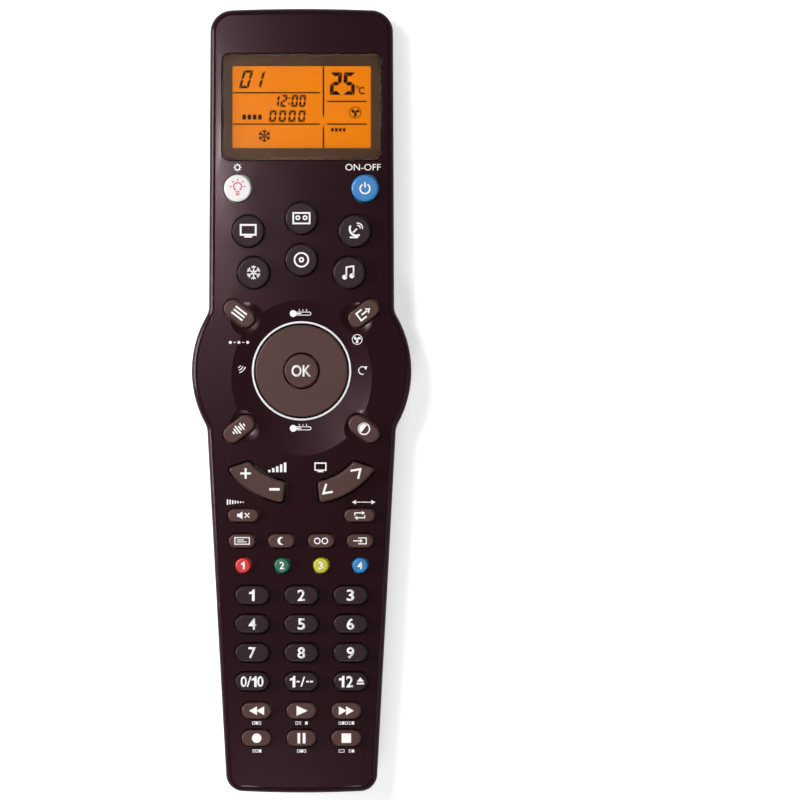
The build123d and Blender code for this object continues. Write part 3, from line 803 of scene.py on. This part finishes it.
KEY_SIGNS = {
    "tv_key": sign_screen(),
    "tape_key": sign_tape(),
    "satellite_key": sign_dish(),
    "climate_key": sign_snow(),
    "disc_key": sign_disc(),
    "music_key": sign_note(),
    "menu_key": sign_lines(),
    "exit_key": sign_leave(),
    "audio_key": sign_wave(),
    "normal_key": sign_contrast(),
    "mute_key": sign_mute(),
    "recall_key": sign_loop(),
    "display_key": sign_page(),
    "sleep_key": sign_moon(),
    "sound_key": sign_pair(),
    "source_key": sign_enter(),
    "power_key": sign_power(),
    "rewind_key": sign_arrows_left(),
    "forward_key": sign_arrows_right(),
    "play_key": sign_play(),
    "record_key": [disc(0, 0, 1.45)],
    "pause_key": sign_pause(),
    "stop_key": [rectangle(0, 0, 2.9, 2.9)],
}
# Signs that are smaller than drawn, and signs that turn with a tilted key, in degrees
SIGN_SCALES = {"recall_key": 0.75, "power_key": 0.85}
KEY_TILT = 37.6
SIGN_TURNS = {"menu_key": -KEY_TILT, "exit_key": KEY_TILT, "audio_key": KEY_TILT, "normal_key": -KEY_TILT}
# Numbers: a digit's height, its length as a share of that, and a memory key's as a share of a number key's
DIGIT_HEIGHT = 3.5
DIGIT_SHARE = 0.66
MEMORY_SHARE = 0.66


def print_key(node, ending, shapes, finish="white_print", turn=0.0, scale=1.0):
    """A print on a key's top, drawn about the key's middle, that rides with the key."""
    x, y = middle(node)
    printed(node + ending, placed(shapes, x, y, turn, scale), finish, node, level=top_of(node))


def number_shapes(number, share):
    """One digit, drawn for a one and in lettering for the others."""
    height = share * DIGIT_HEIGHT
    if number == 1:
        return placed(sign_one(), 0, 0, 0, share)
    return [word(str(number), 0, 0, DIGIT_SHARE * height, height)]


def nought_and_ten():
    """A nought and a ten with a slash between them."""
    noughts = [word("0", x, 0, 1.9, 3.3) for x in (-2.6, 2.5)]
    return noughts + placed(sign_one(), 0.65, 0, 0, 0.94) + [slash(-1.0, 1.6)]


def digit_entry():
    """A one and a dash, a slash, and two dashes."""
    dashes = [rectangle(x, 0, 0.9, 0.5) for x in (-1.0, 1.9, 3.1)]
    return placed(sign_one(), -2.6, 0) + dashes + [slash(0.4, 1.5)]


def twelve_and_eject():
    """A twelve beside the eject sign."""
    twelve = placed(sign_one(), -2.6, 0) + [word("2", -0.25, 0, 2.1, DIGIT_HEIGHT)]
    return twelve + placed(sign_eject(), 3.0, 0)


def plus_and_minus():
    """A plus and a minus at the volume rocker's two ends, about the pad's middle."""
    plus_x, plus_y, minus_x, minus_y = -17.0, -31.3, -8.2, -36.15
    length, width, minus_width, post, post_rise = 3.2, 0.62, 0.75, 1.29, 0.96
    bars = [rectangle(plus_x, plus_y, length, width), rectangle(minus_x, minus_y, length, minus_width)]
    posts = [rectangle(plus_x, plus_y + side * post_rise, width, post) for side in (1, -1)]
    return bars + posts


def chevrons():
    """Two chevrons at the channel rocker's two ends, about the pad's middle."""
    up = stroke([(15.0, -30.5), (18.0, -30.0), (17.3, -32.95)], 0.62)
    down = stroke([(7.6, -34.5), (6.7, -37.4), (9.6, -36.9)], 0.62)
    return [up, down]


def print_keys():
    """Signs and numbers on the keys."""
    for node, shapes in KEY_SIGNS.items():
        turn, scale = SIGN_TURNS.get(node, 0.0), SIGN_SCALES.get(node, 1.0)
        print_key(node, "_sign", shapes, turn=turn, scale=scale)
    for number in range(1, 10):
        print_key(f"number_key_{number}", "_number", number_shapes(number, 1.0))
    for number in range(1, 5):
        print_key(f"memory_key_{number}", "_number", number_shapes(number, MEMORY_SHARE))
    print_key("light_key", "_sign", sign_bulb(), "red_print")
    print_key("ok_key", "_word", [word("OK", 0, 0, 6.0, 3.6)])
    print_key("number_key_0", "_number", nought_and_ten())
    print_key("digit_entry_key", "_sign", digit_entry())
    print_key("number_key_12", "_number", twelve_and_eject())


def print_rockers():
    """Plus and minus on one rocker, chevrons on the other."""
    x, y = middle("ok_key")
    level = top_of("volume_rocker")
    for node, shapes in (("volume_rocker", plus_and_minus()), ("channel_rocker", chevrons())):
        printed(node + "_signs", placed(shapes, x, y), "white_print", node, level=level)


# Prints on the front cover

# Labels: the sign, the key that it stands by, its shift from that key's middle in millimetres, its scale
FACE_SIGNS = {
    "light_label": (sign_dial(), "light_key", -0.1, 6.4, 1.2),
    "warmer_label": (sign_warmth(), "ok_key", 0.0, 17.5, 1.1),
    "cooler_label": (sign_warmth(), "ok_key", 0.0, -17.55, 1.1),
    "mode_label": (sign_cycle(), "menu_key", -0.1, -8.85, 1.1),
    "fan_label": (sign_fan(), "exit_key", -2.0, -7.95, 1.0),
    "swing_label": (sign_swing(), "ok_key", 18.6, 0.1, 1.15),
    "louvre_label": (sign_louvre(), "ok_key", -18.3, 0.8, 1.1),
    "volume_label": (sign_steps(), "ok_key", -7.4, -29.5, 1.0),
    "channel_label": (sign_screen(), "ok_key", 5.8, -29.5, 0.72),
    "mute_label": (sign_fade(), "mute_key", -2.5, 4.0, 1.0),
    "recall_label": (sign_back_and_forth(), "recall_key", 1.2, 4.0, 0.9),
    "rewind_label": (sign_small("ofl"), "rewind_key", 0.0, -3.85, 0.9),
    "play_label": (sign_small("ol f"), "play_key", 0.0, -3.85, 0.9),
    "forward_label": (sign_small("ofolf"), "forward_key", 0.0, -3.85, 0.9),
    "record_label": (sign_small("lof"), "record_key", 0.0, -4.0, 0.9),
    "pause_label": (sign_small("ofo"), "pause_key", 0.0, -4.0, 0.9),
    "stop_label": (sign_small("w lf"), "stop_key", 0.0, -4.0, 0.9),
    "power_label": ([word("ON-OFF", 0, 0, 10.8, 2.0, bold=0.0)], "power_key", -0.6, 6.45, 1.0),
}


def print_face():
    """Labels on the front cover."""
    for name, (shapes, key, shift_x, shift_y, scale) in FACE_SIGNS.items():
        x, y = middle(key)
        labels = placed(shapes, x + shift_x, y + shift_y, 0, scale)
        printed(name, labels, "white_print", "root", on="front_cover")


# Display, drawn about the panel's middle in millimetres

# The lit bars of each digit, lettered clockwise from the top, with the middle bar last
SEGMENTS = {
    "0": "abcdef", "1": "bc", "2": "abged", "3": "abgcd", "4": "fgbc",
    "5": "afgcd", "6": "afgedc", "7": "abc", "8": "abcdefg", "9": "abcdfg",
}
SEGMENT_GAP = 0.09
# Dividing lines: middle, length and width
DISPLAY_LINES = (
    (-7.7, 4.45, 26.6, 0.42),
    (-7.7, -5.14, 26.6, 0.42),
    (13.9, 1.8, 12.1, 0.42),
    (13.9, -5.14, 12.1, 0.42),
    (6.66, 4.8, 0.45, 15.2),
    (6.66, -9.2, 0.45, 6.6),
)
# Numbers: text, left end and middle line, then a digit's length, height, bar width, pitch and slant
DISPLAY_NUMBERS = (
    ("01", -18.5, 8.55, 3.0, 5.5, 0.75, 3.7, 0.28),
    ("25", 8.7, 7.25, 3.5, 6.9, 1.15, 4.1, 0.04),
    ("12", -8.8, 1.95, 1.95, 3.7, 0.66, 2.4, 0.1),
    ("00", -3.1, 1.95, 1.95, 3.7, 0.66, 2.4, 0.1),
    ("0000", -9.9, -2.7, 2.15, 3.5, 0.66, 2.95, 0.1),
)
# The two dots between hours and minutes
COLON_DOTS = ((-3.75, 2.8), (-3.85, 1.1))
COLON_RADIUS = 0.3
# Rows of four small bars in place of words: the first bar's middle, the pitch, a bar's length and width
BAR_ROWS = ((-17.6, -3.0, 1.6, 1.1, 1.5), (9.4, -6.9, 1.2, 0.8, 1.05))
# The degree ring by middle and radius, and its letter by middle, radius, first and last angle
DEGREE_RING = (17.1, 6.2, 0.38)
DEGREE_LETTER = (18.6, 5.1, 0.95, 50, 310)
SNOW_PLACE, SNOW_RADIUS, SNOW_WIDTH = (-11.4, -8.75), 1.85, 0.42
FAN_PLACE, FAN_SCALE = (16.4, -1.6), 1.15


def segment_digit(digit, x, y, length, height, width, slant):
    """A seven-segment digit of mitred bars."""
    right, top, gap = length / 2, height / 2, SEGMENT_GAP
    flat = [
        (-right + gap, top),
        (right - gap, top),
        (right - width - gap, top - width),
        (-right + width + gap, top - width),
    ]
    post = [
        (right, top - gap),
        (right - width, top - width - gap),
        (right - width, width / 2 + gap),
        (right - width / 2, gap),
        (right, width / 4 + gap),
    ]
    bar = [
        (-right + width / 2 + gap, 0),
        (-right + width + gap, -width / 2),
        (right - width - gap, -width / 2),
        (right - width / 2 - gap, 0),
        (right - width - gap, width / 2),
        (-right + width + gap, width / 2),
    ]
    shapes = {
        "a": flat, "d": [(px, -py) for px, py in flat], "g": bar,
        "b": post, "c": [(px, -py) for px, py in post],
        "f": [(-px, py) for px, py in post], "e": [(-px, -py) for px, py in post],
    }
    return [[(x + px + slant * py, y + py) for px, py in shapes[name]] for name in SEGMENTS[digit]]


def segment_number(text, x, y, length, height, width, pitch, slant):
    """Digits at an even pitch, from the left."""
    bars = []
    for order, digit in enumerate(text):
        bars += segment_digit(digit, x + order * pitch + length / 2, y, length, height, width, slant)
    return bars


def print_display():
    """The lit display's dividing lines, numbers, small bars and signs."""
    shapes = [rectangle(*line) for line in DISPLAY_LINES]
    for number in DISPLAY_NUMBERS:
        shapes += segment_number(*number)
    shapes += [disc(*dot, COLON_RADIUS, 10) for dot in COLON_DOTS]
    for x, y, pitch, length, width in BAR_ROWS:
        shapes += [rectangle(x + pitch * order, y, length, width) for order in range(4)]
    shapes.append(stroke(disc(*DEGREE_RING, 12), 0.2, closed=True))
    shapes.append(stroke(arc(*DEGREE_LETTER, 14), 0.42))
    shapes += placed(sign_snow(SNOW_RADIUS, SNOW_WIDTH), *SNOW_PLACE)
    shapes += placed(sign_fan(), *FAN_PLACE, scale=FAN_SCALE)
    x, y = middle("lcd_panel")
    printed("display_segments", placed(shapes, x, y), "lcd_print", "root", level=top_of("lcd_panel"))


# Lens border, and the black gasket that paints the shade in the gap round the lens, in millimetres, with the
# radius of their corners

# The view in the border is smaller than the panel by this much on each side
VIEW_MARGIN, VIEW_CORNER = 2.0, 0.5
# The border ends this far inside the lens's edge, in even steps from the view
BORDER_MARGIN, BORDER_CORNER = 0.2, 2.1
BORDER_STEPS = 12
# The gap between the border and the lens's inner side
BORDER_GAP = 0.03
# The gasket, painted shade for the gap, reaches past the lens's outline on the outside and lies within it on
# the inside
GASKET_SHADE_REACH, GASKET_SHADE_OUTER_CORNER = 0.25, 2.5
GASKET_SHADE_INSET, GASKET_SHADE_INNER_CORNER = 0.4, 1.9
# The painted-shade gasket's underside and top, above the seat
GASKET_SHADE_LOW, GASKET_SHADE_HIGH = 0.01, 0.05
# The search for the seat starts this far below the lens's top
SEAT_SEARCH = 0.9


def lens_border():
    """The printed border on the lens's inner side, following its crown."""
    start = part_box("display_window")[0][2] - RAY_START
    x, y, length, width = plan("display_window")
    panel_length, panel_width = plan("lcd_panel")[2:]
    view_length, view_width = panel_length - 2 * VIEW_MARGIN, panel_width - 2 * VIEW_MARGIN
    mesh = bmesh.new()
    rings = []
    for order in range(BORDER_STEPS + 1):
        share = order / BORDER_STEPS
        ring_length = blend(view_length, length - 2 * BORDER_MARGIN, share)
        ring_width = blend(view_width, width - 2 * BORDER_MARGIN, share)
        loop = rounded_loop(x, y, ring_length, ring_width, blend(VIEW_CORNER, BORDER_CORNER, share))
        rings.append([mesh.verts.new((px * MM, py * MM, 0)) for px, py in subdivide_loop(loop)])
    join_rings(mesh, rings, closed=False)
    data = bpy.data.meshes.new("lens_border")
    mesh.to_mesh(data)
    mesh.free()
    lens = nodes["display_window"]
    for vertex in data.vertices:
        inner_side = surface_level(lens, vertex.co.x, vertex.co.y, start, direction=1)
        vertex.co.z = inner_side - BORDER_GAP * MM
    data.materials.append(materials["border"])
    piece = bpy.data.objects.new("lens_border", data)
    bpy.context.scene.collection.objects.link(piece)
    thicken = piece.modifiers.new("thickness", "SOLIDIFY")
    thicken.thickness = PRINT_THICKNESS
    thicken.offset = 0
    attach(piece, "root")


def lens_gasket():
    """A black gasket on the seat, put there to paint the shade seen in the gap round the lens."""
    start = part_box("display_window")[1][2] - SEAT_SEARCH * MM
    x, y, length, width = plan("display_window")
    outer = rounded_loop(x, y, length + 2 * GASKET_SHADE_REACH, width + 2 * GASKET_SHADE_REACH, GASKET_SHADE_OUTER_CORNER)
    inner = rounded_loop(x, y, length - 2 * GASKET_SHADE_INSET, width - 2 * GASKET_SHADE_INSET, GASKET_SHADE_INNER_CORNER)
    mesh = bmesh.new()
    rings = []
    for loop, lift in ((outer, GASKET_SHADE_LOW), (outer, GASKET_SHADE_HIGH), (inner, GASKET_SHADE_HIGH), (inner, GASKET_SHADE_LOW)):
        ring = []
        for px, py in subdivide_loop(loop):
            seat = surface_level(nodes["front_cover"], px * MM, py * MM, start)
            ring.append(mesh.verts.new((px * MM, py * MM, seat + lift * MM)))
        rings.append(ring)
    join_rings(mesh, rings)
    make_piece("lens_gasket", mesh, "gasket_gap_shade", "root", level=-PRINT_LIFT)


# Inside the battery bay and the screw wells

# The second colour of a cell's sleeve: how far it stands proud, its thickness and its length
SLEEVE_PROUD = 0.03 * MM
SLEEVE_THICKNESS = 0.08 * MM
SLEEVE_LENGTH = 9 * MM
SLEEVE_STEPS = 48
# The cell's positive end stands out of its sleeve by this much
CELL_END = 1.3 * MM
# The case screws' middles, and the length and width of the cross in each head, in millimetres
SCREW_PLACES = ((8.1, 53.7), (-8.1, 53.7), (0.0, -112.0))
CROSS_LENGTH = 2.3
CROSS_WIDTH = 0.5
# The cross starts this far outside the head
CROSS_DROP = 0.06 * MM


def cell_sleeves():
    """The second colour of each cell's sleeve, round its positive end."""
    low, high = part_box("battery_cells")
    outer = (high[2] - low[2]) / 2 + SLEEVE_PROUD
    inner = outer - SLEEVE_THICKNESS
    level = (high[2] + low[2]) / 2
    pitch = (high[1] - low[1]) / 2
    turns = [2 * math.pi * step / SLEEVE_STEPS for step in range(SLEEVE_STEPS)]
    for row, row_name in enumerate(("upper", "lower")):
        top = high[1] - row * pitch - CELL_END
        foot = top - SLEEVE_LENGTH
        for side, side_name in ((-1, "left"), (1, "right")):
            x = side * ((high[0] - low[0]) / 2 - outer + SLEEVE_PROUD)
            mesh = bmesh.new()
            rings = []
            for y, radius in ((top, inner), (top, outer), (foot, outer), (foot, inner)):
                points = [(x + radius * math.cos(turn), y, level + radius * math.sin(turn)) for turn in turns]
                rings.append([mesh.verts.new(point) for point in points])
            join_rings(mesh, rings)
            name = f"cell_sleeve_{side_name}_{row_name}"
            piece = make_piece(name, mesh, "gold_sleeve", "root", level=-PRINT_LIFT)
            piece.data.shade_smooth()


def screw_crosses():
    """The cross recess of each screw head, as painted shade: a dark cross laid on the head."""
    head_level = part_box("case_screws")[0][2] - CROSS_DROP
    arm = (CROSS_LENGTH - CROSS_WIDTH) / 2
    shift = (CROSS_WIDTH + arm) / 2
    for order, (x, y) in enumerate(SCREW_PLACES):
        arms = [rectangle(x, y + side * shift, CROSS_WIDTH, arm) for side in (1, -1)]
        shapes = [rectangle(x, y, CROSS_LENGTH, CROSS_WIDTH)] + arms
        printed(f"screw_cross_{order + 1}", shapes, "recess_shade", "root", level=head_level)


# Surroundings

FLOOR_SIZE = 6
FLOOR_DROP = 0.05 * MM
FLOOR_COLOUR = (0.86, 0.86, 0.86)
FLOOR_ROUGHNESS = 0.9
# What the camera sees of the floor is lifted to white by this much
FLOOR_GLOW = 0.55
# The studio's light from low and from high directions, and how far up each holds
STUDIO_LOW, STUDIO_HIGH = (0.55, 0.55, 0.55), (0.13, 0.13, 0.13)
STUDIO_START, STUDIO_END = 0.05, 0.8
# Square lamps aimed at the frame's origin: place and side in metres, and power in watts
LAMPS = {
    "left_soft": ((-0.75, 0.1, 0.35), 0.4, 6.5),
    "left_high": ((-0.27, 0.23, 1.25), 0.15, 5.5),
    "foot_soft": ((-0.08, -0.51, 1.18), 0.2, 2.8),
    "right_soft": ((0.8, -0.2, 0.7), 0.5, 0.7),
}


def add_floor():
    """A white floor that keeps the object's shadow."""
    material, tree, shader = new_material("floor")
    shader.inputs["Roughness"].default_value = FLOOR_ROUGHNESS
    shader.inputs["Specular IOR Level"].default_value = 0.0
    shader.inputs["Base Color"].default_value = (*FLOOR_COLOUR, 1)
    path = tree.nodes.new("ShaderNodeLightPath")
    seen = tree.nodes.new("ShaderNodeMath")
    seen.operation = "MULTIPLY"
    seen.inputs[1].default_value = FLOOR_GLOW
    tree.links.new(path.outputs["Is Camera Ray"], seen.inputs[0])
    shader.inputs["Emission Color"].default_value = (1, 1, 1, 1)
    tree.links.new(seen.outputs["Value"], shader.inputs["Emission Strength"])
    bpy.ops.mesh.primitive_plane_add(size=FLOOR_SIZE)
    floor = bpy.context.active_object
    floor.name = "floor"
    floor.location.z = -FLOOR_DROP
    floor.data.materials.append(material)


def add_lamp(name, place, side, power):
    """A square soft lamp aimed at the frame's origin."""
    data = bpy.data.lights.new(name, "AREA")
    data.size = side
    data.energy = power
    lamp = bpy.data.objects.new(name, data)
    lamp.location = place
    lamp.rotation_euler = (-Vector(place)).to_track_quat("-Z", "Y").to_euler()
    bpy.context.scene.collection.objects.link(lamp)


def add_light():
    """Soft studio light, stronger from the left, with white behind the object."""
    world = bpy.data.worlds.new("world")
    world.use_nodes = True
    tree = world.node_tree
    backdrop = tree.nodes["Background"]
    backdrop.inputs["Color"].default_value = (1, 1, 1, 1)
    studio = tree.nodes.new("ShaderNodeBackground")
    coords = tree.nodes.new("ShaderNodeTexCoord")
    split = tree.nodes.new("ShaderNodeSeparateXYZ")
    path = tree.nodes.new("ShaderNodeLightPath")
    mix = tree.nodes.new("ShaderNodeMixShader")
    tree.links.new(coords.outputs["Generated"], split.inputs["Vector"])
    height, colour = split.outputs["Z"], studio.inputs["Color"]
    add_ramp(tree, height, colour, STUDIO_LOW, STUDIO_HIGH, STUDIO_START, STUDIO_END)
    tree.links.new(path.outputs["Is Camera Ray"], mix.inputs["Fac"])
    tree.links.new(studio.outputs["Background"], mix.inputs[1])
    tree.links.new(backdrop.outputs["Background"], mix.inputs[2])
    tree.links.new(mix.outputs["Shader"], tree.nodes["World Output"].inputs["Surface"])
    bpy.context.scene.world = world
    for name, (place, side, power) in LAMPS.items():
        add_lamp(name, place, side, power)


def add_camera():
    """Straight down on the keys, with a long lens, at the photograph's scale."""
    data = bpy.data.cameras.new("camera")
    data.sensor_width = SENSOR
    data.lens = SENSOR * (CAMERA_HEIGHT - FACE_LEVEL) / (FRAME_PIXELS * PIXEL)
    data.clip_start = 0.01
    data.clip_end = 20
    camera = bpy.data.objects.new("camera", data)
    half = FRAME_PIXELS / 2
    camera.location = ((half - CASE_MIDDLE_X) * PIXEL, (CASE_MIDDLE_Y - half) * PIXEL, CAMERA_HEIGHT)
    bpy.context.scene.collection.objects.link(camera)
    bpy.context.scene.camera = camera


add_camera()
add_light()
add_floor()
finish_nodes()
print_keys()
print_rockers()
print_face()
print_display()
lens_border()
lens_gasket()
cell_sleeves()
screw_crosses()
bpy.context.scene.view_settings.view_transform = "Standard"
